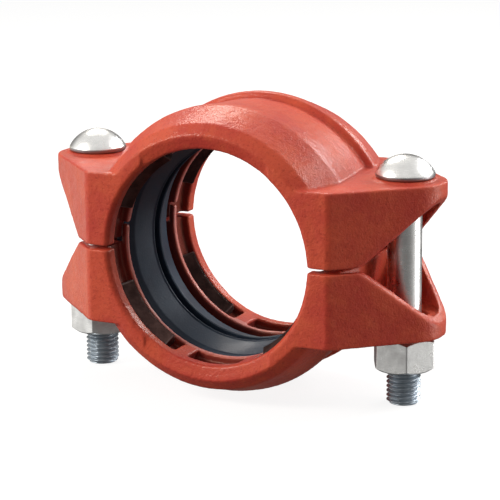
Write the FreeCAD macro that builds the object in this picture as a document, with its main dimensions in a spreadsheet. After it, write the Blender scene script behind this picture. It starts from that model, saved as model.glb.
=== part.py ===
import FreeCAD, Part
import Sketcher
import math
import os

Vector = FreeCAD.Vector
Rotation = FreeCAD.Rotation
Placement = FreeCAD.Placement

# Bolted coupling for plain-end pipe, millimetres.
# X runs from bolt to bolt, Y along the pipe (front is -Y), Z up.
# The origin is the middle of the coupling on the pipe axis.

SIZES = [
    # alias, value
    ("half_width", 52.5),        # casting, from the middle to one face
    ("half_gap", 1.25),          # half the gap between the two castings
    # outside of the ring: radius and distance from the middle plane
    ("face_radius", 68.5),
    ("bevel_radius", 74.3),
    ("bevel_at", 48.0),
    ("crest_radius", 81.0),
    ("crest_outer", 26.5),
    ("front_crest_inner", 22.0),
    ("rear_crest_inner", 21.3),
    ("step_radius", 77.3),
    ("step_at", 19.5),
    # inside of the ring
    ("lip_radius", 60.5),
    ("lip_chamfer", 2.0),
    ("lip_inner", 43.5),
    ("ridge_radius", 60.8),
    ("ridge_outer", 30.0),
    ("ridge_inner", 26.0),
    ("cavity_radius", 71.5),
    ("channel_radius", 65.5),
    ("channel_sweep", 67.0),
    ("pocket_start", 75.0),
    ("pocket_sweep", 30.0),
    ("flare_inner", 50.3),
    ("flare_radius", 67.6),
    ("flare_half", 38.5),
    # interlock at the parting line
    ("tongue_inner", 60.8),
    ("tongue_outer", 64.5),
    ("tongue_low", 26.2),
    ("tongue_high", 29.8),
    ("tongue_sweep", 8.3),
    ("recess_outer", 65.0),
    ("recess_low", 25.9),
    ("recess_high", 30.2),
    ("recess_sweep", 9.6),
    # bolt lugs
    ("seat_height", 43.0),
    ("lug_start", 48.0),
    ("web_crease", 73.5),
    ("nose_radius", 23.0),
    ("boss_radius", 16.8),
    ("boss_height", 1.3),
    ("vee_start", 86.5),
    ("vee_end", 117.0),
    ("vee_height", 33.0),
    ("web_wall", 4.5),
    ("hollow_start", 62.0),
    ("hollow_height", 31.5),
    # bolts and holes
    ("bolt_spacing_half", 96.0),
    ("hole_radius", 10.5),
    ("hole_reach", 2.5),
    ("shank_radius", 9.525),
    ("shank_length", 127.0),
    ("end_chamfer", 1.5),
    ("neck_reach", 2.4),
    ("neck_depth", 9.0),
    ("head_radius", 16.3),
    ("head_edge", 2.5),
    ("head_height", 12.4),
    # nuts
    ("nut_across", 31.75),
    ("nut_height", 18.65),
    ("nut_bore", 9.575),
    ("nut_chamfer_radius", 15.3),
    ("nut_chamfer_drop", 1.9),
    # jaws
    ("jaw_back", 65.45),
    ("jaw_shoulder", 62.5),
    ("jaw_tip", 57.25),
    ("jaw_inner", 30.5),
    ("jaw_outer", 43.0),
    ("tip_inner", 35.5),
    ("tip_outer", 37.9),
    ("jaw_start", 21.0),
    ("jaw_sweep", 40.0),
    # gasket
    ("gasket_radius", 70.9),
    ("gasket_half", 25.4),
    ("heel_radius", 66.0),
    ("shoulder_radius", 64.5),
    ("shoulder_at", 21.0),
    ("slope_radius", 62.0),
    ("slope_at", 19.0),
    ("lip_start_radius", 58.2),
    ("lip_start_at", 4.9),
    ("lip_tip_radius", 57.4),
    ("lip_tip_at", 3.9),
    ("slot_half", 2.9),
    ("slot_radius", 57.9),
    ("web_radius", 62.6),
    ("chamber_radius", 68.0),
    ("chamber_neck", 64.4),
    ("chamber_half", 14.0),
]

doc = FreeCAD.newDocument("PipeCoupling")
sheet = doc.addObject("Spreadsheet::Sheet", "Sizes")
for row, (alias, number) in enumerate(SIZES, start=1):
    sheet.set("A%d" % row, alias)
    sheet.set("B%d" % row, repr(number))
    sheet.setAlias("B%d" % row, alias)
doc.recompute()


class Size:
    """A length together with the sheet formula it comes from."""

    def __init__(self, value, formula):
        self.value = float(value)
        self.formula = formula

    def join(self, other, sign, swap=False):
        other = other if isinstance(other, Size) else Size(other, "(%r)" % float(other))
        a, b = (other, self) if swap else (self, other)
        if sign == "+":
            result = a.value + b.value
        elif sign == "-":
            result = a.value - b.value
        elif sign == "*":
            result = a.value * b.value
        else:
            result = a.value / b.value
        return Size(result, "(%s %s %s)" % (a.formula, sign, b.formula))

    def __add__(self, other):
        return self.join(other, "+")

    def __radd__(self, other):
        return self.join(other, "+", True)

    def __sub__(self, other):
        return self.join(other, "-")

    def __rsub__(self, other):
        return self.join(other, "-", True)

    def __mul__(self, other):
        return self.join(other, "*")

    def __rmul__(self, other):
        return self.join(other, "*", True)

    def __truediv__(self, other):
        return self.join(other, "/")

    def __neg__(self):
        return self.join(0.0, "-", True)


S = {}
for alias, number in SIZES:
    S[alias] = Size(sheet.get(alias), "Sizes." + alias)


def number_of(x):
    return x.value if isinstance(x, Size) else float(x)


def bind(obj, path, x):
    if isinstance(x, Size):
        obj.setExpression(path, x.formula)


def plane_of(body, role):
    for feature in body.Origin.OriginFeatures:
        if feature.Role == role:
            return feature
    raise RuntimeError("no plane " + role)


def sketch_on(body, name, role):
    sketch = body.newObject("Sketcher::SketchObject", name)
    sketch.AttachmentSupport = [(plane_of(body, role), "")]
    sketch.MapMode = "FlatFace"
    return sketch


def pin_point(sketch, index, end, x, y):
    """Hold one end of a sketch line at (x, y) from the origin."""
    for kind, axis, length in (("DistanceX", -2, x), ("DistanceY", -1, y)):
        if abs(number_of(length)) < 1e-9:
            sketch.addConstraint(Sketcher.Constraint("PointOnObject", index, end, axis))
        else:
            k = sketch.addConstraint(
                Sketcher.Constraint(kind, -1, 1, index, end, number_of(length))
            )
            bind(sketch, "Constraints[%d]" % k, length)


def outline(body, name, role, loops):
    """Sketch of one or more closed polygons, every corner held by the sheet."""
    sketch = sketch_on(body, name, role)
    first = 0
    for points in loops:
        n = len(points)
        flat = [Vector(number_of(x), number_of(y), 0) for x, y in points]
        lines = [Part.LineSegment(flat[i], flat[(i + 1) % n]) for i in range(n)]
        sketch.addGeometry(lines, False)
        for i in range(n):
            sketch.addConstraint(
                Sketcher.Constraint("Coincident", first + i, 2, first + (i + 1) % n, 1)
            )
        for i, (x, y) in enumerate(points):
            pin_point(sketch, first + i, 1, x, y)
        first += n
    doc.recompute()
    return sketch


def slot_outline(body, name, centres, radius, reach):
    """Ovals with their long axis along X, one round each centre on the X axis."""
    sketch = sketch_on(body, name, "XY_Plane")
    r = number_of(radius)
    quarter = math.pi / 2
    first = 0
    for centre in centres:
        right, left = centre + reach, centre - reach
        xr, xl = number_of(right), number_of(left)
        up = Vector(0, 0, 1)
        sketch.addGeometry(
            [
                Part.ArcOfCircle(Part.Circle(Vector(xr, 0, 0), up, r), -quarter, quarter),
                Part.LineSegment(Vector(xr, r, 0), Vector(xl, r, 0)),
                Part.ArcOfCircle(Part.Circle(Vector(xl, 0, 0), up, r), quarter, 3 * quarter),
                Part.LineSegment(Vector(xl, -r, 0), Vector(xr, -r, 0)),
            ],
            False,
        )
        for i in range(4):
            sketch.addConstraint(
                Sketcher.Constraint("Tangent", first + i, 2, first + (i + 1) % 4, 1)
            )
        for index, x in ((first, right), (first + 2, left)):
            sketch.addConstraint(Sketcher.Constraint("PointOnObject", index, 3, -1))
            if abs(number_of(x)) > 1e-9:
                k = sketch.addConstraint(
                    Sketcher.Constraint("DistanceX", -1, 1, index, 3, number_of(x))
                )
                bind(sketch, "Constraints[%d]" % k, x)
            else:
                sketch.addConstraint(Sketcher.Constraint("PointOnObject", index, 3, -2))
            k = sketch.addConstraint(Sketcher.Constraint("Radius", index, r))
            bind(sketch, "Constraints[%d]" % k, radius)
        first += 4
    doc.recompute()
    return sketch


def circles_outline(body, name, centres, radius):
    """One circle round each centre on the X axis."""
    sketch = sketch_on(body, name, "XY_Plane")
    r = number_of(radius)
    for index, centre in enumerate(centres):
        x = number_of(centre)
        sketch.addGeometry(Part.Circle(Vector(x, 0, 0), Vector(0, 0, 1), r), False)
        sketch.addConstraint(Sketcher.Constraint("PointOnObject", index, 3, -1))
        k = sketch.addConstraint(Sketcher.Constraint("DistanceX", -1, 1, index, 3, x))
        bind(sketch, "Constraints[%d]" % k, centre)
        k = sketch.addConstraint(Sketcher.Constraint("Radius", index, r))
        bind(sketch, "Constraints[%d]" % k, radius)
    doc.recompute()
    return sketch


def nosed_outline(body, name, flanks, centre, radius):
    """Outline closed at its outer end by an arc about (centre, 0), once on each side.

    flanks: corners of the front half from the inner end outwards; the last one is
    joined to the arc by a tangent line, and the rear half is the mirror image.
    """
    sketch = sketch_on(body, name, "XY_Plane")
    r = number_of(radius)
    first = 0
    for side in (1.0, -1.0):
        cx = side * number_of(centre)
        corners = [(side * x, y) for x, y in flanks]
        px, py = (number_of(v) for v in corners[-1])
        far = math.hypot(px - cx, py)
        lean = math.atan2(py, abs(px) - abs(cx)) - math.acos(r / far)
        tx, ty = cx + side * r * math.cos(lean), r * math.sin(lean)
        front = [Vector(number_of(x), number_of(y), 0) for x, y in corners]
        back = [Vector(v.x, -v.y, 0) for v in reversed(front)]
        chain = front + [Vector(tx, ty, 0)]
        lines = [Part.LineSegment(chain[i], chain[i + 1]) for i in range(len(chain) - 1)]
        circle = Part.Circle(Vector(cx, 0, 0), Vector(0, 0, 1), r)
        if side > 0:
            arc = Part.ArcOfCircle(circle, -lean, lean)
            begin, end = 2, 1
        else:
            arc = Part.ArcOfCircle(circle, math.pi - lean, math.pi + lean)
            begin, end = 1, 2
        chain = [Vector(tx, -ty, 0)] + back
        lines2 = [Part.LineSegment(chain[i], chain[i + 1]) for i in range(len(chain) - 1)]
        lines2.append(Part.LineSegment(back[-1], front[0]))
        sketch.addGeometry(lines + [arc] + lines2, False)
        n, m = len(lines), len(lines2)
        for i in range(n - 1):
            sketch.addConstraint(Sketcher.Constraint("Coincident", first + i, 2, first + i + 1, 1))
        a = first + n
        sketch.addConstraint(Sketcher.Constraint("Tangent", first + n - 1, 2, a, begin))
        sketch.addConstraint(Sketcher.Constraint("Tangent", a, end, a + 1, 1))
        for i in range(m - 1):
            sketch.addConstraint(Sketcher.Constraint("Coincident", a + 1 + i, 2, a + 2 + i, 1))
        sketch.addConstraint(Sketcher.Constraint("Coincident", a + m, 2, first, 1))
        sketch.addConstraint(Sketcher.Constraint("PointOnObject", a, 3, -1))
        k = sketch.addConstraint(Sketcher.Constraint("DistanceX", -1, 1, a, 3, cx))
        bind(sketch, "Constraints[%d]" % k, side * centre)
        k = sketch.addConstraint(Sketcher.Constraint("Radius", a, r))
        bind(sketch, "Constraints[%d]" % k, radius)
        for i, (x, y) in enumerate(corners):
            pin_point(sketch, first + i, 1, x, y)
        for i, (x, y) in enumerate(reversed(corners)):
            pin_point(sketch, a + 1 + i, 2, x, -y)
        first = a + 1 + m
    doc.recompute()
    return sketch


def grown(body, before, name, least):
    """Stop if a feature did not change the body's volume the way it should."""
    doc.recompute()
    now = body.Shape.Volume
    if (now - before) * math.copysign(1, least) < abs(least):
        raise RuntimeError("%s changed the volume by %.1f only" % (name, now - before))
    return now


def volume_of(body):
    return body.Shape.Volume if not body.Shape.isNull() else 0.0


def pad(body, name, sketch, length, reverse=False, least=1.0):
    before = volume_of(body)
    feature = body.newObject("PartDesign::Pad", name)
    feature.Profile = sketch
    feature.Length = number_of(length)
    bind(feature, "Length", length)
    feature.Reversed = reverse
    grown(body, before, name, least)
    return feature


def pocket(body, name, sketch, length=None, reverse=False, both=False, least=-1.0):
    before = volume_of(body)
    feature = body.newObject("PartDesign::Pocket", name)
    feature.Profile = sketch
    if length is None:
        feature.Type = "ThroughAll"
    else:
        feature.Length = number_of(length)
        bind(feature, "Length", length)
    feature.Reversed = reverse
    if both:
        feature.SideType = "Symmetric"
    grown(body, before, name, least)
    return feature


def turned(body, kind, name, sketch, axis, angle=360.0, reverse=False, least=1.0):
    before = volume_of(body)
    feature = body.newObject("PartDesign::" + kind, name)
    feature.Profile = sketch
    feature.ReferenceAxis = (sketch, [axis])
    feature.Angle = number_of(angle)
    bind(feature, "Angle", angle)
    feature.Reversed = reverse
    grown(body, before, name, least)
    return feature


def both_sides(points, middle=()):
    """Mirror half an outline given for positive first coordinates."""
    return [(-x, y) for x, y in reversed(points)] + list(middle) + list(points)


def sector(name, radius, low, high, start, sweep):
    """Pie slice round the pipe axis, from Y low to Y high, angles from +X up to +Z."""
    tool = doc.addObject("Part::Cylinder", name)
    tool.Radius = number_of(radius)
    bind(tool, "Radius", radius)
    tool.Height = number_of(high) - number_of(low)
    bind(tool, "Height", high - low)
    tool.Angle = number_of(sweep)
    bind(tool, "Angle", sweep)
    spin = Rotation(Vector(0, 1, 0), -number_of(start)) * Rotation(Vector(1, 0, 0), 90)
    tool.Placement = Placement(Vector(0, number_of(high), 0), spin)
    bind(tool, "Placement.Base.y", high)
    return tool


def fused(name, shapes):
    joined = doc.addObject("Part::MultiFuse", name)
    joined.Shapes = shapes
    return joined


def minus(name, base, tool):
    cut = doc.addObject("Part::Cut", name)
    cut.Base = base
    cut.Tool = tool
    return cut


# ---------------------------------------------------------------- castings

def casting(tag):
    """One half of the housing, drawn as the upper half."""
    body = doc.addObject("PartDesign::Body", "Casting_" + tag)

    # two bolt lugs: flat pads on top, faces flush with the ends of the ring,
    # noses rounded about the bolts
    bolt_at = [S["bolt_spacing_half"], -S["bolt_spacing_half"]]
    lug_tip = S["bolt_spacing_half"] + S["nose_radius"]
    plan = nosed_outline(
        body,
        "LugPlan" + tag,
        [
            (S["lug_start"], S["half_width"]),
            (S["web_crease"] - 1.2, S["half_width"]),
            (S["web_crease"] + 1.0, S["half_width"] - 1.0),
        ],
        S["bolt_spacing_half"],
        S["nose_radius"],
    )
    pad(body, "Lugs" + tag, plan, S["seat_height"], least=50000)

    # low round seats for the bolt heads and the nuts
    seats = circles_outline(body, "SeatPlan" + tag, bolt_at, S["boss_radius"])
    pad(body, "Seats" + tag, seats, S["seat_height"] + S["boss_height"], least=1500)

    # the lugs open in a vee towards the tip
    slope = (S["vee_height"] - S["half_gap"]) / (S["vee_end"] - S["vee_start"])

    def vee(side):
        far = lug_tip + 4.0
        near = S["vee_start"] - 2.0
        return [
            (side * near, S["half_gap"] - slope * 2.0),
            (side * far, S["half_gap"] - slope * 2.0),
            (side * far, S["half_gap"] + slope * (far - S["vee_start"])),
        ]

    wedge = outline(body, "VeeShape" + tag, "XZ_Plane", [vee(1.0), vee(-1.0)])
    pocket(body, "Vee" + tag, wedge, both=True, least=-10000)

    # hollow under each pad, webs left at the front and the back and round the nose
    well = nosed_outline(
        body,
        "HollowPlan" + tag,
        [
            (S["hollow_start"], S["half_width"] - S["web_wall"]),
            (S["web_crease"] - 1.9, S["half_width"] - S["web_wall"]),
        ],
        S["bolt_spacing_half"],
        S["nose_radius"] - S["web_wall"],
    )
    pocket(body, "Hollows" + tag, well, S["hollow_height"], reverse=True, least=-20000)

    # the ring itself
    ring = outline(
        body,
        "RingShape" + tag,
        "YZ_Plane",
        [
            both_sides(
                [
                    (S["crest_outer"], S["crest_radius"]),
                    (S["bevel_at"], S["bevel_radius"]),
                    (S["half_width"], S["face_radius"]),
                    (S["half_width"], 20.0),
                ],
                [
                    (-S["front_crest_inner"], S["crest_radius"]),
                    (S["step_at"], S["step_radius"]),
                    (S["rear_crest_inner"], S["crest_radius"]),
                ],
            )
        ],
    )
    turned(body, "Revolution", "Ring" + tag, ring, "H_Axis", least=500000)

    # nothing below the parting face
    lower = outline(
        body,
        "PartingShape" + tag,
        "XZ_Plane",
        [
            [
                (-(lug_tip + 5.0), -(S["crest_radius"] + 5.0)),
                (lug_tip + 5.0, -(S["crest_radius"] + 5.0)),
                (lug_tip + 5.0, S["half_gap"]),
                (-(lug_tip + 5.0), S["half_gap"]),
            ]
        ],
    )
    pocket(body, "Parting" + tag, lower, both=True, least=-500000)

    # bore, end lips, ridges and the gasket cavity
    bore = outline(
        body,
        "BoreShape" + tag,
        "YZ_Plane",
        [
            both_sides(
                [
                    (S["ridge_inner"], S["cavity_radius"]),
                    (S["ridge_inner"], S["ridge_radius"]),
                    (S["ridge_outer"], S["ridge_radius"]),
                    (S["ridge_outer"], S["lip_radius"]),
                    (S["half_width"] - S["lip_chamfer"], S["lip_radius"]),
                    (S["half_width"] + 1.0, S["lip_radius"] + S["lip_chamfer"] + 1.0),
                    (S["half_width"] + 1.0, 0.0),
                ]
            )
        ],
    )
    turned(body, "Groove", "Bore" + tag, bore, "H_Axis", least=-300000)

    # oval bolt holes through both pads
    holes = slot_outline(body, "HolePlan" + tag, bolt_at, S["hole_radius"], S["hole_reach"])
    through = S["seat_height"] + S["boss_height"] + 1.0
    pocket(body, "BoltHoles" + tag, holes, through, reverse=True, least=-5000)

    # jaw channels, the cored pockets between them, and the interlock
    lands = []
    for place, side in (("Front", -1), ("Rear", 1)):
        if side < 0:
            low, high = -S["lip_inner"], -S["ridge_outer"]
        else:
            low, high = S["ridge_outer"], S["lip_inner"]
        lands.append(sector("ChannelRight" + place + tag, S["channel_radius"], low, high, 0.0, S["channel_sweep"]))
        lands.append(
            sector("ChannelLeft" + place + tag, S["channel_radius"], low, high, 180.0 - S["channel_sweep"], S["channel_sweep"])
        )
        lands.append(
            sector("Pocket" + place + tag, S["channel_radius"], low, high, S["pocket_start"], S["pocket_sweep"])
        )
        if side < 0:
            low, high = -S["recess_high"], -S["recess_low"]
        else:
            low, high = S["recess_low"], S["recess_high"]
        lands.append(
            sector("Recess" + place + tag, S["recess_outer"], low, high, 180.0 - S["recess_sweep"], S["recess_sweep"])
        )

    # shallow flare at each end, between the flat plates of the lugs
    cones = []
    rise = (S["flare_radius"] - S["lip_radius"]) / (S["half_width"] - S["flare_inner"])
    for place, side in (("Front", -1), ("Rear", 1)):
        cone = doc.addObject("Part::Cone", "FlareCone" + place + tag)
        deep = S["half_width"] - S["flare_inner"] + 1.0
        wide = S["lip_radius"] + rise * deep
        cone.Radius1 = number_of(S["lip_radius"])
        bind(cone, "Radius1", S["lip_radius"])
        cone.Radius2 = number_of(wide)
        bind(cone, "Radius2", wide)
        cone.Height = number_of(deep)
        bind(cone, "Height", deep)
        start = S["flare_inner"] * float(side)
        cone.Placement = Placement(
            Vector(0, number_of(start), 0), Rotation(Vector(1, 0, 0), -90.0 * side)
        )
        bind(cone, "Placement.Base.y", start)
        cones.append(cone)
    window = doc.addObject("Part::Box", "FlareWindow" + tag)
    window.Length = number_of(S["flare_half"] * 2.0)
    bind(window, "Length", S["flare_half"] * 2.0)
    window.Width = number_of(S["half_width"] * 2.0 + 10.0)
    bind(window, "Width", S["half_width"] * 2.0 + 10.0)
    window.Height = number_of(S["crest_radius"])
    bind(window, "Height", S["crest_radius"])
    window.Placement = Placement(
        Vector(-number_of(S["flare_half"]), -number_of(S["half_width"] + 5.0), 0), Rotation()
    )
    bind(window, "Placement.Base.x", -S["flare_half"])
    bind(window, "Placement.Base.y", -(S["half_width"] + 5.0))
    flare = doc.addObject("Part::MultiCommon", "Flare" + tag)
    flare.Shapes = [fused("FlareCones" + tag, cones), window]
    lands.append(flare)

    # tongues that reach past the parting face into the other half
    tongues = [body]
    for place, side in (("Front", -1), ("Rear", 1)):
        if side < 0:
            low, high = -S["tongue_high"], -S["tongue_low"]
        else:
            low, high = S["tongue_low"], S["tongue_high"]
        sweep = S["tongue_sweep"] + 3.0
        outer = sector("TongueOut" + place + tag, S["tongue_outer"], low, high, -S["tongue_sweep"], sweep)
        inner = sector("TongueIn" + place + tag, S["tongue_inner"], low - 1.0, high + 1.0, -S["tongue_sweep"] - 1.0, sweep + 2.0)
        tongues.append(minus("Tongue" + place + tag, outer, inner))

    whole = minus("Housing" + tag, fused("CastingWithTongues" + tag, tongues), fused("CoredSpaces" + tag, lands))
    doc.recompute()
    return whole


upper = casting("U")
upper.Label = "upper_housing"
lower = casting("L")
lower.Label = "lower_housing"
lower.Placement = Placement(Vector(0, 0, 0), Rotation(Vector(0, 1, 0), 180))
doc.recompute()

finished = [upper, lower]


# ---------------------------------------------------------------- gasket

gasket = doc.addObject("PartDesign::Body", "Gasket")
gasket.Label = "gasket"
section = outline(
    gasket,
    "GasketShape",
    "YZ_Plane",
    [
        [(S["gasket_half"], S["gasket_radius"])]
        + [(-S["gasket_half"], S["gasket_radius"])]
        + [
            (-x, y)
            for x, y in (
                (S["gasket_half"], S["heel_radius"]),
                (S["shoulder_at"], S["shoulder_radius"]),
                (S["slope_at"], S["slope_radius"]),
                (S["lip_start_at"], S["lip_start_radius"]),
                (S["lip_tip_at"], S["lip_tip_radius"]),
                (S["slot_half"], S["slot_radius"]),
                (S["slot_half"], S["web_radius"]),
                (S["chamber_half"] - 1.0, S["chamber_neck"]),
                (S["chamber_half"], S["chamber_neck"] + 1.6),
                (S["chamber_half"] - 1.4, S["chamber_radius"]),
            )
        ]
        + [
            (S["chamber_half"] - 1.4, S["chamber_radius"]),
            (S["chamber_half"], S["chamber_neck"] + 1.6),
            (S["chamber_half"] - 1.0, S["chamber_neck"]),
            (S["slot_half"], S["web_radius"]),
            (S["slot_half"], S["slot_radius"]),
            (S["lip_tip_at"], S["lip_tip_radius"]),
            (S["lip_start_at"], S["lip_start_radius"]),
            (S["slope_at"], S["slope_radius"]),
            (S["shoulder_at"], S["shoulder_radius"]),
            (S["gasket_half"], S["heel_radius"]),
        ]
    ],
)
turned(gasket, "Revolution", "GasketRing", section, "H_Axis", least=50000)
finished.append(gasket)


# ---------------------------------------------------------------- bolts

def bolt(tag, side):
    """Button-head bolt with an oval neck, drawn hanging from its seat."""
    body = doc.addObject("PartDesign::Body", "Bolt" + tag)
    shank = outline(
        body,
        "ShankShape" + tag,
        "XZ_Plane",
        [
            [
                (0.0, 1.0),
                (0.0, -S["shank_length"]),
                (S["shank_radius"] - S["end_chamfer"], -S["shank_length"]),
                (S["shank_radius"], -S["shank_length"] + S["end_chamfer"]),
                (S["shank_radius"], 1.0),
            ]
        ],
    )
    turned(body, "Revolution", "Shank" + tag, shank, "V_Axis", least=30000)
    neck = slot_outline(body, "NeckPlan" + tag, [S["neck_reach"] - S["neck_reach"]], S["shank_radius"], S["neck_reach"])
    pad(body, "Neck" + tag, neck, S["neck_depth"], reverse=True, least=300)

    head = sketch_on(body, "HeadShape" + tag, "XZ_Plane")
    rim, edge, top = (number_of(S[k]) for k in ("head_radius", "head_edge", "head_height"))
    rise = top - edge
    dome = (rim * rim + rise * rise) / (2.0 * rise)
    centre = top - dome
    start = math.atan2(edge - centre, rim)
    head.addGeometry(
        [
            Part.LineSegment(Vector(0, 0, 0), Vector(rim, 0, 0)),
            Part.LineSegment(Vector(rim, 0, 0), Vector(rim, edge, 0)),
            Part.ArcOfCircle(Part.Circle(Vector(0, centre, 0), Vector(0, 0, 1), dome), start, math.pi / 2),
            Part.LineSegment(Vector(0, top, 0), Vector(0, 0, 0)),
        ],
        False,
    )
    for a, i, b, j in ((0, 2, 1, 1), (1, 2, 2, 1), (2, 2, 3, 1), (3, 2, 0, 1)):
        head.addConstraint(Sketcher.Constraint("Coincident", a, i, b, j))
    head.addConstraint(Sketcher.Constraint("Coincident", 0, 1, -1, 1))
    head.addConstraint(Sketcher.Constraint("Horizontal", 0))
    head.addConstraint(Sketcher.Constraint("Vertical", 1))
    head.addConstraint(Sketcher.Constraint("PointOnObject", 2, 3, -2))
    head.addConstraint(Sketcher.Constraint("PointOnObject", 3, 1, -2))
    for index, end, kind, length in (
        (0, 2, "DistanceX", S["head_radius"]),
        (1, 2, "DistanceY", S["head_edge"]),
        (3, 1, "DistanceY", S["head_height"]),
    ):
        k = head.addConstraint(Sketcher.Constraint(kind, -1, 1, index, end, number_of(length)))
        bind(head, "Constraints[%d]" % k, length)
    doc.recompute()
    turned(body, "Revolution", "Head" + tag, head, "V_Axis", least=4000)
    seat = S["seat_height"] + S["boss_height"]
    body.Placement = Placement(
        Vector(side * number_of(S["bolt_spacing_half"]), 0, number_of(seat)), Rotation()
    )
    bind(body, "Placement.Base.x", S["bolt_spacing_half"] * side)
    bind(body, "Placement.Base.z", seat)
    return body


for label, side in (("left", -1.0), ("right", 1.0)):
    made = bolt(label.capitalize(), side)
    made.Label = "bolt_" + label
    finished.append(made)


# ---------------------------------------------------------------- nuts

def nut(tag, side, spin):
    """Heavy hexagon nut, drawn hanging from its seat."""
    body = doc.addObject("PartDesign::Body", "Nut" + tag)
    corner = S["nut_across"] / math.sqrt(3.0)
    hexagon = [
        (corner * math.cos(math.radians(60 * k)), corner * math.sin(math.radians(60 * k)))
        for k in range(6)
    ]
    hexagon[0] = (corner, 0.0)
    hexagon[3] = (-corner, 0.0)
    plan = outline(body, "HexPlan" + tag, "XY_Plane", [hexagon])
    pad(body, "Hex" + tag, plan, S["nut_height"], reverse=True, least=10000)

    past = corner + 1.0
    drop = S["nut_chamfer_drop"] / (corner - S["nut_chamfer_radius"]) * (past - S["nut_chamfer_radius"])
    corners = outline(
        body,
        "CornerShape" + tag,
        "XZ_Plane",
        [
            [
                (S["nut_chamfer_radius"], 0.0),
                (past, 0.0),
                (past, -drop),
            ],
            [
                (S["nut_chamfer_radius"], -S["nut_height"]),
                (past, -S["nut_height"] + drop),
                (past, -S["nut_height"]),
            ],
        ],
    )
    turned(body, "Groove", "Corners" + tag, corners, "V_Axis", least=-100)

    thread = outline(
        body,
        "BoreShape" + tag,
        "XZ_Plane",
        [
            [
                (0.0, 1.0),
                (S["nut_bore"] + 1.8, 1.0),
                (S["nut_bore"] + 0.8, 0.0),
                (S["nut_bore"], -0.8),
                (S["nut_bore"], -S["nut_height"] + 0.8),
                (S["nut_bore"] + 0.8, -S["nut_height"]),
                (S["nut_bore"] + 1.8, -S["nut_height"] - 1.0),
                (0.0, -S["nut_height"] - 1.0),
            ]
        ],
    )
    turned(body, "Groove", "Thread" + tag, thread, "V_Axis", least=-4000)
    seat = -(S["seat_height"] + S["boss_height"])
    body.Placement = Placement(
        Vector(side * number_of(S["bolt_spacing_half"]), 0, number_of(seat)),
        Rotation(Vector(0, 0, 1), spin),
    )
    bind(body, "Placement.Base.x", S["bolt_spacing_half"] * side)
    bind(body, "Placement.Base.z", seat)
    return body


for label, side, spin in (("left", -1.0, -18.0), ("right", 1.0, -3.0)):
    made = nut(label.capitalize(), side, spin)
    made.Label = "nut_" + label
    finished.append(made)


# ---------------------------------------------------------------- jaws

def jaw(tag, row, start):
    """Hardened gripping segment; row is -1 for the front, 1 for the rear."""
    body = doc.addObject("PartDesign::Body", "Jaw" + tag)
    corners = [
        (S["jaw_back"], S["jaw_inner"] * row),
        (S["jaw_back"], S["jaw_outer"] * row),
        (S["jaw_shoulder"], S["jaw_outer"] * row),
        (S["jaw_tip"], S["tip_outer"] * row),
        (S["jaw_tip"], S["tip_inner"] * row),
        (S["jaw_shoulder"], S["jaw_inner"] * row),
    ]
    sketch = outline(body, "JawShape" + tag, "XY_Plane", [corners])
    turned(body, "Revolution", "JawSweep" + tag, sketch, "V_Axis", S["jaw_sweep"], True, least=1000)
    body.Placement = Placement(Vector(0, 0, 0), Rotation(Vector(0, 1, 0), -start))
    return body


begin, sweep = number_of(S["jaw_start"]), number_of(S["jaw_sweep"])
for half, side, start in (
    ("upper", "right", begin),
    ("upper", "left", 180 - begin - sweep),
    ("lower", "left", 180 + begin),
    ("lower", "right", 360 - begin - sweep),
):
    for place, row in (("front", -1.0), ("rear", 1.0)):
        made = jaw(half.capitalize() + place.capitalize() + side.capitalize(), row, start)
        made.Label = "jaw_%s_%s_%s" % (half, place, side)
        finished.append(made)


# ---------------------------------------------------------------- checks and files

doc.recompute()
for obj in doc.Objects:
    if "Invalid" in obj.State or "Error" in obj.State:
        raise RuntimeError("%s is in error: %s" % (obj.Label, obj.State))

os.makedirs("parts", exist_ok=True)
for obj in finished:
    shape = obj.Shape
    if shape.isNull() or not shape.isValid() or len(shape.Solids) != 1:
        raise RuntimeError("%s is not one valid solid (%d)" % (obj.Label, len(shape.Solids)))
    box = shape.BoundBox
    print(
        "%-24s %9.0f mm3  x %.2f..%.2f  y %.2f..%.2f  z %.2f..%.2f  faces %d"
        % (obj.Label, shape.Volume, box.XMin, box.XMax, box.YMin, box.YMax, box.ZMin, box.ZMax, len(shape.Faces))
    )
    shape.exportStep("parts/%s.step" % obj.Label)
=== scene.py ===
import math

import bmesh
import bpy
import numpy as np
from mathutils import Matrix, Vector


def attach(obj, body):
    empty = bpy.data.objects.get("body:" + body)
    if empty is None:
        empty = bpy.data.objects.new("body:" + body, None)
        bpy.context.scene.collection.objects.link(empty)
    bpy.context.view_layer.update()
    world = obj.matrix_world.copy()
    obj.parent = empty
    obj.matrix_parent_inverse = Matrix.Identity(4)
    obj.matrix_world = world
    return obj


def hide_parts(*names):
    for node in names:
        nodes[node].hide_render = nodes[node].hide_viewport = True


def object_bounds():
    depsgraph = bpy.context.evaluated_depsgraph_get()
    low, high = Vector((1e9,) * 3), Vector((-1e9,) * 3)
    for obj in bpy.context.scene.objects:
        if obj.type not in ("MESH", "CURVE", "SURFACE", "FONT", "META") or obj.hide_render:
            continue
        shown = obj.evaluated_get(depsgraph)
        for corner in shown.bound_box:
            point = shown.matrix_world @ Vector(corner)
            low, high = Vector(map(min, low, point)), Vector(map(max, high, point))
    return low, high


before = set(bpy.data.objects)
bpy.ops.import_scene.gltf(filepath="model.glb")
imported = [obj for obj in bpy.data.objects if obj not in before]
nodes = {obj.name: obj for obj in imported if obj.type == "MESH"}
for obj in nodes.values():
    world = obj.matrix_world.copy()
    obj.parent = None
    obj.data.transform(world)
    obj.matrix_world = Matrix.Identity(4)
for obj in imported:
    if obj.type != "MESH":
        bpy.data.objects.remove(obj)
cad_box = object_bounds()
scene = bpy.context.scene
scene.view_settings.view_transform = "Standard"
scene.view_settings.look = "None"

MM = 0.001
TAU = 2 * math.pi


# ------------------------------------------------------------------ materials

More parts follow.
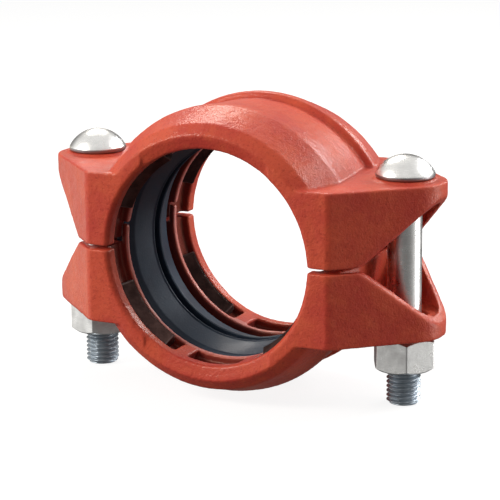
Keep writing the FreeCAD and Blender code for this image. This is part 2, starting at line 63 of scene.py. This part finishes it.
def new_material(name):
    mat = bpy.data.materials.new(name)
    mat.use_nodes = True
    tree = mat.node_tree
    tree.nodes.clear()
    out = tree.nodes.new("ShaderNodeOutputMaterial")
    shader = tree.nodes.new("ShaderNodeBsdfPrincipled")
    tree.links.new(shader.outputs[0], out.inputs[0])
    return mat, tree, shader


def node(tree, kind, **values):
    n = tree.nodes.new(kind)
    for key, value in values.items():
        if key.startswith("in_"):
            n.inputs[key[3:].replace("_", " ")].default_value = value
        else:
            setattr(n, key, value)
    return n


def object_coords(tree):
    return node(tree, "ShaderNodeTexCoord").outputs["Object"]


def noise(tree, coords, scale, detail=3.0, rough=0.55, lift=0.0):
    n = node(tree, "ShaderNodeTexNoise", in_Scale=scale, in_Detail=detail, in_Roughness=rough)
    n.noise_dimensions = "3D"
    tree.links.new(coords, n.inputs["Vector"])
    return n.outputs["Fac"]


def ramp(tree, fac, stops, interpolation="EASE"):
    r = node(tree, "ShaderNodeValToRGB")
    r.color_ramp.interpolation = interpolation
    els = r.color_ramp.elements
    while len(els) < len(stops):
        els.new(0.5)
    for el, (pos, col) in zip(els, stops):
        el.position = pos
        el.color = (col, col, col, 1) if isinstance(col, (int, float)) else (*col, 1)
    tree.links.new(fac, r.inputs["Fac"])
    return r.outputs["Color"]


def mix(tree, fac, a, b, mode="MIX"):
    m = node(tree, "ShaderNodeMix", data_type="RGBA", blend_type=mode)
    # colour sockets share their names with the other data types, so pick them by place
    inputs = {"Factor": m.inputs[0], "A": m.inputs[6], "B": m.inputs[7]}
    for key, value in (("Factor", fac), ("A", a), ("B", b)):
        s = inputs[key]
        if isinstance(value, bpy.types.NodeSocket):
            tree.links.new(value, s)
        elif isinstance(value, (int, float)):
            s.default_value = value if key == "Factor" else (value, value, value, 1)
        else:
            s.default_value = (*value, 1)
    return m.outputs[2]


def math_node(tree, op, a, b=None, clamp=False):
    m = node(tree, "ShaderNodeMath", operation=op, use_clamp=clamp)
    for i, value in enumerate((a, b)):
        if value is None:
            continue
        if isinstance(value, bpy.types.NodeSocket):
            tree.links.new(value, m.inputs[i])
        else:
            m.inputs[i].default_value = value
    return m.outputs[0]


def bump(tree, height, strength, distance, normal=None):
    b = node(tree, "ShaderNodeBump", in_Strength=strength, in_Distance=distance)
    tree.links.new(height, b.inputs["Height"])
    if normal is not None:
        tree.links.new(normal, b.inputs["Normal"])
    return b.outputs["Normal"]


def enamel_material():
    """Orange-red enamel over rough sand-cast iron."""
    mat, tree, shader = new_material("enamel_cast")
    co = object_coords(tree)
    broad = noise(tree, co, 38, 3)
    patch = noise(tree, co, 150, 4)
    grain = noise(tree, co, 620, 3, 0.6)
    base = ramp(tree, broad, [(0.3, (0.53, 0.048, 0.035)), (0.7, (0.63, 0.082, 0.041))])
    base = mix(tree, math_node(tree, "MULTIPLY", ramp(tree, patch, [(0.52, 0.0), (0.7, 1.0)]), 0.35), base, (0.62, 0.095, 0.045))
    base = mix(tree, math_node(tree, "MULTIPLY", ramp(tree, grain, [(0.3, 1.0), (0.48, 0.0)]), 0.35), base, (0.28, 0.014, 0.012))
    # convex edges paler: painted highlight, partly thin paint; corners darker: painted shade
    geo = node(tree, "ShaderNodeNewGeometry")
    # paler convex edges: painted edge highlight, partly thin paint
    edge = ramp(tree, geo.outputs["Pointiness"], [(0.52, 0.0), (0.60, 1.0)], "LINEAR")
    # darker corners and creases: painted shade
    crevice_shade = ramp(tree, geo.outputs["Pointiness"], [(0.42, 1.0), (0.490, 0.0)], "LINEAR")
    base = mix(tree, math_node(tree, "MULTIPLY", edge, 0.45), base, (0.76, 0.24, 0.17))
    base = mix(tree, math_node(tree, "MULTIPLY", crevice_shade, 0.80), base, (0.13, 0.006, 0.007))
    # by distance from the pipe axis: painted shade in the jaw channels, painted highlight on the ridges
    place = node(tree, "ShaderNodeSeparateXYZ")
    tree.links.new(co, place.inputs[0])
    x2 = math_node(tree, "MULTIPLY", place.outputs[0], place.outputs[0])
    z2 = math_node(tree, "MULTIPLY", place.outputs[2], place.outputs[2])
    radius = math_node(tree, "SQRT", math_node(tree, "ADD", x2, z2))
    along = math_node(tree, "ABSOLUTE", place.outputs[1])
    inside = ramp(tree, math_node(tree, "MULTIPLY", along, 10.0), [(0.436, 1.0), (0.446, 0.0)], "LINEAR")
    # jaw channel floors made near black: painted shade
    channel_shade = ramp(tree, math_node(tree, "MULTIPLY", radius, 10.0), [(0.611, 0.0), (0.622, 1.0), (0.664, 1.0), (0.676, 0.0)], "LINEAR")
    channel_shade = math_node(tree, "MULTIPLY", channel_shade, inside)
    base = mix(tree, math_node(tree, "MULTIPLY", channel_shade, 0.78), base, (0.085, 0.010, 0.012))
    # ridge tops made pale pink: painted highlight
    ridge_highlight = ramp(tree, math_node(tree, "MULTIPLY", radius, 10.0), [(0.600, 1.0), (0.611, 1.0), (0.616, 0.0)], "LINEAR")
    ridge_highlight = math_node(tree, "MULTIPLY", ridge_highlight, ramp(tree, math_node(tree, "MULTIPLY", along, 10.0), [(0.302, 1.0), (0.308, 0.0)], "LINEAR"))
    base = mix(tree, math_node(tree, "MULTIPLY", ridge_highlight, 0.45), base, (0.66, 0.33, 0.31))
    tree.links.new(base, shader.inputs["Base Color"])
    rough = ramp(tree, patch, [(0.3, 0.46), (0.7, 0.60)])
    tree.links.new(rough, shader.inputs["Roughness"])
    shader.inputs["Specular IOR Level"].default_value = 0.36
    shader.inputs["Specular Tint"].default_value = (1.0, 0.70, 0.38, 1)
    shader.inputs["Coat Weight"].default_value = 0.22
    shader.inputs["Coat Roughness"].default_value = 0.17
    height = mix(tree, 0.45, noise(tree, co, 420, 4, 0.6), noise(tree, co, 1100, 2, 0.5))
    normal = bump(tree, height, 0.75, 0.0007)
    tree.links.new(normal, shader.inputs["Normal"])
    tree.links.new(bump(tree, height, 0.5, 0.0005), shader.inputs["Coat Normal"])
    return mat


def zinc_material(name, tint, rough_lo, rough_hi, streak=True, extra_shade=0.0):
    """Bright zinc plating with fine drawing marks, a little dulling and painted shade in the crevices."""
    mat, tree, shader = new_material(name)
    co = object_coords(tree)
    stretch = node(tree, "ShaderNodeMapping")
    stretch.inputs["Scale"].default_value = (1.0, 1.0, 14.0 if streak else 1.0)
    tree.links.new(co, stretch.inputs["Vector"])
    cloud = noise(tree, co, 120, 4)
    lines = noise(tree, stretch.outputs[0], 260, 3, 0.6)
    dark = tuple(c * 0.72 for c in tint)
    base = ramp(tree, cloud, [(0.3, dark), (0.68, tint)])
    base = mix(tree, 0.35, base, ramp(tree, lines, [(0.3, dark), (0.7, tint)]))
    geo = node(tree, "ShaderNodeNewGeometry")
    # darker crevices and thread roots: painted shade
    crevice_shade = ramp(tree, geo.outputs["Pointiness"], [(0.40, 1.0), (0.49, 0.0)], "LINEAR")
    base = mix(tree, math_node(tree, "MULTIPLY", crevice_shade, 0.5 + extra_shade), base, (0.06, 0.065, 0.07))
    tree.links.new(base, shader.inputs["Base Color"])
    shader.inputs["Metallic"].default_value = 1.0
    tree.links.new(ramp(tree, cloud, [(0.3, rough_hi), (0.7, rough_lo)]), shader.inputs["Roughness"])
    normal = bump(tree, lines, 0.25, 0.0002)
    normal = bump(tree, noise(tree, co, 900, 3), 0.25, 0.0002, normal)
    tree.links.new(normal, shader.inputs["Normal"])
    return mat


def rubber_material():
    mat, tree, shader = new_material("gasket_rubber")
    co = object_coords(tree)
    cloud = noise(tree, co, 60, 4)
    fine = noise(tree, co, 900, 3)
    base = ramp(tree, cloud, [(0.3, (0.009, 0.016, 0.033)), (0.7, (0.017, 0.030, 0.052))])
    base = mix(tree, math_node(tree, "MULTIPLY", ramp(tree, fine, [(0.55, 0.0), (0.75, 1.0)]), 0.3), base, (0.05, 0.055, 0.065))
    tree.links.new(base, shader.inputs["Base Color"])
    tree.links.new(ramp(tree, cloud, [(0.3, 0.42), (0.7, 0.54)]), shader.inputs["Roughness"])
    shader.inputs["Specular IOR Level"].default_value = 0.50
    shader.inputs["Specular Tint"].default_value = (0.78, 0.87, 1.0, 1)
    tree.links.new(bump(tree, fine, 0.25, 0.0002), shader.inputs["Normal"])
    return mat


def jaw_material():
    mat, tree, shader = new_material("jaw_hardened_steel")
    co = object_coords(tree)
    cloud = noise(tree, co, 140, 4)
    fine = noise(tree, co, 800, 3)
    base = ramp(tree, cloud, [(0.3, (0.040, 0.020, 0.018)), (0.7, (0.090, 0.050, 0.044))])
    geo = node(tree, "ShaderNodeNewGeometry")
    # pale gripping edges: painted highlight
    edge = ramp(tree, geo.outputs["Pointiness"], [(0.52, 0.0), (0.60, 1.0)], "LINEAR")
    base = mix(tree, math_node(tree, "MULTIPLY", edge, 0.85), base, (0.62, 0.52, 0.50))
    tree.links.new(base, shader.inputs["Base Color"])
    shader.inputs["Metallic"].default_value = 0.85
    tree.links.new(ramp(tree, fine, [(0.3, 0.32), (0.7, 0.5)]), shader.inputs["Roughness"])
    tree.links.new(bump(tree, fine, 0.3, 0.0002), shader.inputs["Normal"])
    return mat


ENAMEL = enamel_material()
ZINC = zinc_material("zinc_bright", (0.90, 0.90, 0.89), 0.22, 0.38)
NUT_ZINC = zinc_material("zinc_nut", (0.80, 0.80, 0.79), 0.24, 0.40)
RIM_ZINC_SHADE = zinc_material("zinc_rim_painted_shade", (0.34, 0.33, 0.34), 0.34, 0.50)
THREAD = zinc_material("zinc_thread", (0.50, 0.56, 0.62), 0.42, 0.55, streak=False, extra_shade=0.2)
RUBBER = rubber_material()
JAW = jaw_material()


# ------------------------------------------------------------------ mesh helpers

def add_object(name, mesh, materials):
    obj = bpy.data.objects.new(name, mesh)
    scene.collection.objects.link(obj)
    mesh.materials.clear()
    for m in materials:
        mesh.materials.append(m)
    return obj


def mesh_from(name, verts, faces, slots=None, sharp=None):
    mesh = bpy.data.meshes.new(name)
    mesh.from_pydata([tuple(v) for v in verts], [], faces)
    if slots is not None:
        mesh.polygons.foreach_set("material_index", slots)
    mesh.polygons.foreach_set("use_smooth", [True] * len(mesh.polygons))
    bm = bmesh.new()
    bm.from_mesh(mesh)
    bmesh.ops.recalc_face_normals(bm, faces=bm.faces)
    if sharp is not None:
        limit = math.radians(sharp)
        for e in bm.edges:
            if len(e.link_faces) == 2 and e.calc_face_angle(0.0) > limit:
                e.smooth = False
    bm.to_mesh(mesh)
    bm.free()
    mesh.update()
    return mesh


def fillet(points, radii, steps=6, closed=True):
    """Round the corners of a polyline; radii is one number or one for each point."""
    n = len(points)
    out = []
    for i, p in enumerate(points):
        r = radii[i] if isinstance(radii, (list, tuple)) else radii
        if not closed and i in (0, n - 1) or r <= 0:
            out.append(tuple(p))
            continue
        a = Vector(points[i - 1]) - Vector(p)
        b = Vector(points[(i + 1) % n]) - Vector(p)
        la, lb = a.length, b.length
        a.normalize(); b.normalize()
        turn = math.acos(max(-1, min(1, a.dot(b))))
        if turn > math.radians(176):
            out.append(tuple(p))
            continue
        back = min(r / math.tan(turn / 2), 0.49 * la, 0.49 * lb)
        rr = back * math.tan(turn / 2)
        centre = Vector(p) + (a + b).normalized() * (rr / math.sin(turn / 2))
        s, e = Vector(p) + a * back - centre, Vector(p) + b * back - centre
        ang0, ang1 = math.atan2(s.y, s.x), math.atan2(e.y, e.x)
        d = (ang1 - ang0 + math.pi) % TAU - math.pi
        k = max(2, int(steps * abs(d) / 1.57) + 1)
        for j in range(k + 1):
            t = ang0 + d * j / k
            out.append((centre.x + rr * math.cos(t), centre.y + rr * math.sin(t)))
    return out


def lathe(profile, axis, segments, closed, start=0.0, sweep=TAU):
    """Turn (along axis, radius) points about the Y or the Z axis. Returns vertices and faces."""
    whole = abs(sweep - TAU) < 1e-6
    rings = segments if whole else segments + 1
    verts, faces = [], []
    for i in range(rings):
        t = start + sweep * i / segments
        c, s = math.cos(t), math.sin(t)
        for along, r in profile:
            verts.append((r * c, along, r * s) if axis == "Y" else (r * c, r * s, along))
    n = len(profile)
    spans = n if closed else n - 1
    for i in range(segments):
        a, b = i * n, ((i + 1) % rings) * n
        for j in range(spans):
            k = (j + 1) % n
            faces.append((a + j, a + k, b + k, b + j))
    if not whole and closed:
        faces.append(tuple(range(n)))
        faces.append(tuple((rings - 1) * n + j for j in reversed(range(n))))
    return verts, faces


# ------------------------------------------------------------------ castings

def clouds(name, size, depth=2):
    tex = bpy.data.textures.new(name, "CLOUDS")
    tex.noise_scale = size
    tex.noise_depth = depth
    return tex


ROUGH_FINE = clouds("cast_fine", 0.0022, 2)
ROUGH_BROAD = clouds("cast_broad", 0.014, 2)


def casting(name, source, voxel):
    """The casting with rounded cast edges, filleted corners and a rough skin."""
    src = nodes[source].data
    mesh = src.copy()
    bm = bmesh.new()
    bm.from_mesh(mesh)
    bmesh.ops.remove_doubles(bm, verts=bm.verts, dist=2e-6)
    bm.to_mesh(mesh)
    bm.free()
    obj = add_object(name, mesh, [ENAMEL])
    m = obj.modifiers.new("skin", "REMESH")
    m.mode = "VOXEL"
    m.voxel_size = voxel
    m.use_smooth_shade = True
    s = obj.modifiers.new("fillets", "SMOOTH")
    s.factor = 0.5
    s.iterations = int(round(15 * (0.0007 / voxel) ** 2)) or 1
    for label, tex, strength in (("broad", ROUGH_BROAD, 0.00045), ("fine", ROUGH_FINE, 0.00022)):
        d = obj.modifiers.new(label, "DISPLACE")
        d.texture = tex
        d.strength = strength
        d.mid_level = 0.5
        d.texture_coords = "LOCAL"
    bpy.context.view_layer.update()
    done = bpy.data.meshes.new_from_object(obj.evaluated_get(bpy.context.evaluated_depsgraph_get()))
    obj.modifiers.clear()
    obj.data = done
    done.materials.clear()
    done.materials.append(ENAMEL)
    done.polygons.foreach_set("material_index", [0] * len(done.polygons))
    done.polygons.foreach_set("use_smooth", [True] * len(done.polygons))
    return obj


VOXEL = 0.0007
for part, body in (("upper_housing", "upper_half"), ("lower_housing", "lower_half")):
    made = casting("vis_" + part, part, VOXEL)
    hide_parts(part)
    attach(made, body)


# ------------------------------------------------------------------ gasket

def build_gasket():
    half = [
        (25.4, 70.9, 3.0), (25.4, 66.0, 1.6), (21.0, 64.5, 1.6), (19.0, 62.0, 2.4),
        (4.9, 58.2, 1.0), (3.9, 57.4, 0.5), (2.9, 57.9, 0.5), (2.9, 62.6, 1.2),
        (13.0, 64.4, 1.0), (14.0, 66.0, 1.2), (12.6, 68.0, 1.2),
    ]
    # clockwise round the section: right-hand side inwards, then the left-hand side back out
    pts = [(y, r) for y, r, _ in half] + [(-y, r) for y, r, _ in reversed(half)]
    rad = [q for _, _, q in half] + [q for _, _, q in reversed(half)]
    prof = fillet(pts, rad, 7)
    prof = [(y * MM, r * MM) for y, r in prof]
    verts, faces = lathe(prof, "Y", 220, True)
    obj = add_object("vis_gasket", mesh_from("vis_gasket", verts, faces), [RUBBER])
    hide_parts("gasket")
    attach(obj, "gasket")


build_gasket()


# ------------------------------------------------------------------ bolts

PITCH = 2.54


def thread_radius(turn, crest, root):
    """Radius of a 60 degree thread at a fraction of one pitch."""
    u = turn % 1.0
    flat, valley = 0.125, 0.22
    flank = (1 - flat - valley) / 2
    if u < flat:
        return crest
    if u < flat + flank:
        return crest - (crest - root) * (u - flat) / flank
    if u < flat + flank + valley:
        return root
    return root + (crest - root) * (u - flat - flank - valley) / flank


def build_bolt(label, side):
    x0 = side * 96.0
    seat = 44.3
    seg = 96
    verts, faces, slots = [], [], []

    def add(vs, fs, slot):
        base = len(verts)
        verts.extend(vs)
        faces.extend(tuple(base + i for i in f) for f in fs)
        slots.extend([slot] * len(fs))

    # head: flat under-face, rolled rim, high dome
    rim, edge, top = 16.3, 2.3, 12.4
    rise = top - edge
    dome = (rim * rim + rise * rise) / (2 * rise)
    cz = top - dome
    a0 = math.atan2(edge - cz, rim)
    prof = [(0.0, 0.02), (0.0, 9.0), (0.0, 14.6), (0.12, 15.5), (0.45, 16.05), (1.0, 16.3), (1.7, 16.3)]
    steps = 26
    for i in range(steps + 1):
        t = a0 + (math.pi / 2 - a0) * i / steps
        prof.append((cz + dome * math.sin(t), max(dome * math.cos(t), 0.0)))
    prof[-1] = (top, 0.02)
    vs, fs = lathe([(z, r) for z, r in prof], "Z", seg, False)
    add(vs, fs, 0)
    # the rolled rim gets a dark copy of the zinc: painted shade
    for i, f in enumerate(fs):
        if max(vs[j][2] for j in f) < edge + 0.1:
            slots[i] = 2

    # oval neck under the head
    ring = []
    for i in range(seg):
        t = TAU * i / seg
        shift = 2.4 if math.cos(t) > 1e-6 else (-2.4 if math.cos(t) < -1e-6 else 0.0)
        ring.append((9.45 * math.cos(t) + shift, 9.45 * math.sin(t)))
    vs = [(x, y, z) for z in (0.0, -8.6, -9.4) for x, y in [(a * (0.93 if z < -9 else 1.0), b * (0.93 if z < -9 else 1.0)) for a, b in ring]]
    fs = [(j * seg + i, j * seg + (i + 1) % seg, (j + 1) * seg + (i + 1) % seg, (j + 1) * seg + i) for j in range(2) for i in range(seg)]
    fs.append(tuple(2 * seg + i for i in range(seg)))
    add(vs, fs, 0)

    # plain shank
    start = -81.0
    prof = [(-1.0, 9.3), (-9.0, 9.3), (-9.1, 9.42)] + [(-9.1 + (start + 9.1) * i / 12, 9.42) for i in range(1, 13)]
    vs, fs = lathe(prof, "Z", seg, False)
    add(vs, fs, 0)

    # thread
    low = -127.0
    rows = int((start - low) / (PITCH / 12))
    vs, fs = [], []
    for j in range(rows + 1):
        z = start + (low - start) * j / rows
        fade = min(1.0, (start - z) / (PITCH * 1.2))
        cap = 7.9 + (z - low) * 1.05
        for i in range(seg):
            t = TAU * i / seg
            r = thread_radius(z / PITCH - i / seg, 9.5, 7.95)
            r = 9.42 + (r - 9.42) * fade
            r = min(r, cap)
            vs.append((r * math.cos(t), r * math.sin(t), z))
    for j in range(rows):
        for i in range(seg):
            k = (i + 1) % seg
            fs.append((j * seg + i, (j + 1) * seg + i, (j + 1) * seg + k, j * seg + k))
    add(vs, fs, 1)
    # end face with a shallow dished centre
    prof = [(low, 7.9), (low - 0.0, 7.4), (low + 0.05, 6.8), (low + 0.12, 3.0), (low + 0.1, 0.02)]
    vs, fs = lathe(prof, "Z", seg, False)
    add(vs, fs, 1)

    verts = [((x + x0) * MM, y * MM, (z + seat) * MM) for x, y, z in verts]
    mesh = mesh_from("vis_bolt_" + label, verts, faces, slots, sharp=38)
    obj = add_object("vis_bolt_" + label, mesh, [ZINC, THREAD, RIM_ZINC_SHADE])
    mesh.polygons.foreach_set("material_index", slots)
    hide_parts("bolt_" + label)
    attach(obj, "upper_half")


build_bolt("left", -1.0)
build_bolt("right", 1.0)


# ------------------------------------------------------------------ nuts

def build_nut(label, side, spin):
    flats, height, bore, chamfer = 31.75, 18.65, 9.6, 15.2
    tan = math.tan(math.radians(30))
    corner_round = 0.9
    # outline of a hexagon with slightly rounded corners, in polar form
    corner = flats / 2 / math.cos(math.pi / 6)
    hexagon = [(corner * math.cos(TAU * k / 6), corner * math.sin(TAU * k / 6)) for k in range(6)]
    rounded = fillet(hexagon, corner_round, 8)
    outline = []
    for i, p in enumerate(rounded):
        q = rounded[(i + 1) % len(rounded)]
        gap = math.dist(p, q)
        n = max(1, int(gap / 0.9))
        for j in range(n):
            outline.append((p[0] + (q[0] - p[0]) * j / n, p[1] + (q[1] - p[1]) * j / n))
    n = len(outline)
    loops = []

    def circle(r, z):
        loops.append([(r * math.cos(math.atan2(y, x)), r * math.sin(math.atan2(y, x)), z) for x, y in outline])

    def side_loop(top, inset):
        ring = []
        for x, y in outline:
            r = math.hypot(x, y)
            drop = max(0.0, (r - chamfer)) * tan
            k = (r - inset) / r
            z = -drop if top else -height + drop
            ring.append((x * k, y * k, z))
        return ring

    circle(bore, -1.0)
    circle(bore + 0.9, 0.0)
    circle(bore + 3.0, 0.0)
    circle(chamfer - 0.25, 0.0)
    loops.append([(min(math.hypot(x, y) - 0.35, chamfer + 0.2) * math.cos(math.atan2(y, x)), min(math.hypot(x, y) - 0.35, chamfer + 0.2) * math.sin(math.atan2(y, x)), -0.08) for x, y in outline])
    ring = side_loop(True, 0.22)
    loops.append([(x, y, z - 0.05) for x, y, z in ring])
    ring = side_loop(True, 0.0)
    loops.append([(x, y, z - 0.32) for x, y, z in ring])
    for k in range(1, 5):
        ring_t, ring_b = side_loop(True, 0.0), side_loop(False, 0.0)
        loops.append([(a[0], a[1], (a[2] - 0.32) + ((b[2] + 0.32) - (a[2] - 0.32)) * k / 5) for a, b in zip(ring_t, ring_b)])
    ring = side_loop(False, 0.0)
    loops.append([(x, y, z + 0.32) for x, y, z in ring])
    ring = side_loop(False, 0.22)
    loops.append([(x, y, z + 0.05) for x, y, z in ring])
    loops.append([(min(math.hypot(x, y) - 0.35, chamfer + 0.2) * math.cos(math.atan2(y, x)), min(math.hypot(x, y) - 0.35, chamfer + 0.2) * math.sin(math.atan2(y, x)), -height + 0.08) for x, y in outline])
    circle(chamfer - 0.25, -height)
    circle(bore + 3.0, -height)
    circle(bore + 0.9, -height)
    circle(bore, -height + 1.0)
    verts = [v for loop in loops for v in loop]
    faces = []
    m = len(loops)
    for j in range(m):
        a, b = j * n, ((j + 1) % m) * n
        for i in range(n):
            k = (i + 1) % n
            faces.append((a + i, a + k, b + k, b + i))
    c, s = math.cos(math.radians(spin)), math.sin(math.radians(spin))
    verts = [((x * c - y * s + side * 96.0) * MM, (x * s + y * c) * MM, (z - 44.3) * MM) for x, y, z in verts]
    obj = add_object("vis_nut_" + label, mesh_from("vis_nut_" + label, verts, faces, sharp=28), [NUT_ZINC])
    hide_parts("nut_" + label)
    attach(obj, "nut_" + label)


build_nut("left", -1.0, -18.0)
build_nut("right", 1.0, -3.0)


# ------------------------------------------------------------------ jaws

def build_jaw(half, place, side, start):
    row = -1.0 if place == "front" else 1.0
    # section from the back outwards, with two fine gripping edges on the tip
    pts = [
        (30.5, 65.4, 0.6), (30.5, 62.4, 0.8), (35.3, 57.9, 0.15), (35.75, 57.27, 0.08), (36.35, 57.85, 0.1),
        (37.0, 57.27, 0.08), (37.7, 57.9, 0.15), (43.0, 62.4, 0.8), (43.0, 65.4, 0.6),
    ]
    prof = fillet([(y, r) for y, r, _ in pts], [q for _, _, q in pts], 5)
    prof = [(row * y * MM, r * MM) for y, r in prof]
    verts, faces = [], []
    n = len(prof)
    seg = 48
    a0, sweep = math.radians(start), math.radians(40.0)
    mid = [sum(p[i] for p in prof) / n for i in (0, 1)]
    stops = [0.0, 0.004, 0.012] + [0.012 + (1 - 0.024) * i / seg for i in range(1, seg)] + [0.988, 0.996, 1.0]
    for s in stops:
        t = a0 + sweep * s
        shrink = 0.90 if s in (0.0, 1.0) else (0.965 if s in (0.004, 0.996) else 1.0)
        for y, r in prof:
            yy, rr = mid[0] + (y - mid[0]) * shrink, mid[1] + (r - mid[1]) * shrink
            verts.append((rr * math.cos(t), yy, rr * math.sin(t)))
    for i in range(len(stops) - 1):
        a, b = i * n, (i + 1) * n
        for j in range(n):
            k = (j + 1) % n
            faces.append((a + j, a + k, b + k, b + j))
    faces.append(tuple(range(n)))
    faces.append(tuple((len(stops) - 1) * n + j for j in reversed(range(n))))
    name = "jaw_%s_%s_%s" % (half, place, side)
    obj = add_object("vis_" + name, mesh_from("vis_" + name, verts, faces, sharp=40), [JAW])
    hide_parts(name)
    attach(obj, half + "_half")


for half, side, start in (("upper", "right", 21.0), ("upper", "left", 119.0), ("lower", "left", 201.0), ("lower", "right", 299.0)):
    for place in ("front", "rear"):
        build_jaw(half, place, side, start)


# ------------------------------------------------------------------ studio

def stage_material(name, glow, diffuse):
    """Pale seamless paper: seen directly it is near white with a faint shadow."""
    mat = bpy.data.materials.new(name)
    mat.use_nodes = True
    tree = mat.node_tree
    tree.nodes.clear()
    out = tree.nodes.new("ShaderNodeOutputMaterial")
    path = tree.nodes.new("ShaderNodeLightPath")
    clear = tree.nodes.new("ShaderNodeBsdfTransparent")
    paper = node(tree, "ShaderNodeBsdfDiffuse")
    paper.inputs[0].default_value = (diffuse, diffuse, diffuse, 1)
    shine = node(tree, "ShaderNodeEmission")
    shine.inputs[0].default_value = (1, 1, 1, 1)
    shine.inputs[1].default_value = glow
    both = tree.nodes.new("ShaderNodeAddShader")
    tree.links.new(paper.outputs[0], both.inputs[0])
    tree.links.new(shine.outputs[0], both.inputs[1])
    m = tree.nodes.new("ShaderNodeMixShader")
    tree.links.new(path.outputs["Is Camera Ray"], m.inputs[0])
    tree.links.new(clear.outputs[0], m.inputs[1])
    tree.links.new(both.outputs[0], m.inputs[2])
    tree.links.new(m.outputs[0], out.inputs[0])
    return mat


def floor():
    z = float(cad_box[0][2]) - 0.0004
    r = 6.0
    mesh = bpy.data.meshes.new("floor")
    mesh.from_pydata([(-r, -r, z), (r, -r, z), (r, r, z), (-r, r, z)], [], [(0, 1, 2, 3)])
    obj = add_object("floor", mesh, [stage_material("floor_pale", 0.88, 0.20)])


floor()


def step(tree, value, lo, hi):
    m = node(tree, "ShaderNodeMapRange", interpolation_type="SMOOTHSTEP")
    m.inputs[1].default_value = lo
    m.inputs[2].default_value = hi
    tree.links.new(value, m.inputs[0])
    return m.outputs[0]


def blend(tree, fac, a, b):
    """a where fac is 0, b where fac is 1."""
    left = math_node(tree, "MULTIPLY", math_node(tree, "SUBTRACT", 1.0, fac), a)
    return math_node(tree, "ADD", left, math_node(tree, "MULTIPLY", fac, b))


def studio_world():
    """White tent: bright above, behind and to the left, dark where the camera stands."""
    world = bpy.data.worlds.new("studio")
    scene.world = world
    world.use_nodes = True
    tree = world.node_tree
    tree.nodes.clear()
    out = tree.nodes.new("ShaderNodeOutputWorld")
    path = tree.nodes.new("ShaderNodeLightPath")
    way = node(tree, "ShaderNodeTexCoord").outputs["Generated"]
    z = node(tree, "ShaderNodeSeparateXYZ")
    tree.links.new(way, z.inputs[0])
    dot = node(tree, "ShaderNodeVectorMath", operation="DOT_PRODUCT")
    tree.links.new(way, dot.inputs[0])
    dot.inputs[1].default_value = (0.5, -0.866, 0.0)
    away = math_node(tree, "MULTIPLY", math_node(tree, "SUBTRACT", 1.0, dot.outputs["Value"]), 0.5)
    low = math_node(tree, "ADD", math_node(tree, "MULTIPLY", step(tree, away, 0.0, 0.5), 0.95), 0.19)
    back = node(tree, "ShaderNodeVectorMath", operation="DOT_PRODUCT")
    tree.links.new(way, back.inputs[0])
    back.inputs[1].default_value = (-0.35, 0.94, 0.0)
    low = blend(tree, step(tree, back.outputs["Value"], 0.25, 0.80), low, 0.14)
    top = blend(tree, path.outputs["Is Diffuse Ray"], 0.86, 0.36)
    value = blend(tree, step(tree, z.outputs[2], 0.26, 0.68), low, top)
    value = blend(tree, step(tree, math_node(tree, "MULTIPLY", z.outputs[2], -1.0), 0.24, 0.62), value, 0.13)
    share = blend(tree, path.outputs["Is Diffuse Ray"], 1.0, DIFFUSE_SHARE)
    around = tree.nodes.new("ShaderNodeBackground")
    around.inputs[0].default_value = (1.0, 0.985, 0.96, 1)
    tree.links.new(math_node(tree, "MULTIPLY", value, share), around.inputs[1])
    seen = tree.nodes.new("ShaderNodeBackground")
    seen.inputs[0].default_value = (1, 1, 1, 1)
    seen.inputs[1].default_value = 1.05
    m = tree.nodes.new("ShaderNodeMixShader")
    tree.links.new(path.outputs["Is Camera Ray"], m.inputs[0])
    tree.links.new(around.outputs[0], m.inputs[1])
    tree.links.new(seen.outputs[0], m.inputs[2])
    tree.links.new(m.outputs[0], out.inputs[0])


DIFFUSE_SHARE = 0.85
studio_world()


def area(name, place, target, width, height, power, colour=(1, 1, 1)):
    data = bpy.data.lights.new(name, "AREA")
    data.shape = "RECTANGLE"
    data.size, data.size_y = width, height
    data.energy = power
    data.color = colour
    obj = bpy.data.objects.new(name, data)
    scene.collection.objects.link(obj)
    obj.location = place
    obj.rotation_mode = "QUATERNION"
    obj.rotation_quaternion = (Vector(target) - Vector(place)).to_track_quat("-Z", "Y")
    obj.visible_camera = False
    return obj


area("key", (-0.95, -0.95, 0.80), (0, 0, 0), 0.55, 0.55, 16.5, (1.0, 0.95, 0.88))
area("sky", (-0.57, 0.76, 0.89), (0, 0, 0), 0.50, 0.30, 6.5, (1.0, 0.93, 0.84))
area("back", (0.48, 1.19, 0.68), (0, 0, 0), 0.6, 0.35, 9.0)
area("side", (1.26, 0.59, -0.07), (0, 0, 0), 0.5, 0.8, 5.2)
area("right", (0.86, 0.61, 0.91), (0, 0, 0), 0.35, 0.35, 4.0)
area("left", (-1.26, 0.52, -0.18), (0, 0, 0), 0.5, 0.5, 1.0, (1.0, 0.86, 0.64))


# ------------------------------------------------------------------ camera

def camera():
    azimuth, elevation, roll = math.radians(26.6), math.radians(13.31), math.radians(-0.50)
    distance, focal = 1.205, 2135.8
    cx, cy = 246.43 + 0.5, 239.05 + 0.5
    to_camera = Vector((math.sin(azimuth) * math.cos(elevation), -math.cos(azimuth) * math.cos(elevation), math.sin(elevation)))
    right = Vector((math.cos(azimuth), math.sin(azimuth), 0))
    up = right.cross(-to_camera)
    r2 = right * math.cos(roll) + up * math.sin(roll)
    u2 = -right * math.sin(roll) + up * math.cos(roll)
    data = bpy.data.cameras.new("camera")
    data.sensor_width = 36.0
    data.lens = focal / 500.0 * 36.0
    data.shift_x = (250.0 - cx) / 500.0
    data.shift_y = (cy - 250.0) / 500.0
    data.clip_start, data.clip_end = 0.05, 50
    obj = bpy.data.objects.new("camera", data)
    scene.collection.objects.link(obj)
    m = Matrix((r2, u2, to_camera)).transposed().to_4x4()
    m.translation = to_camera * distance
    obj.matrix_world = m
    scene.camera = obj


camera()

bpy.context.view_layer.update()
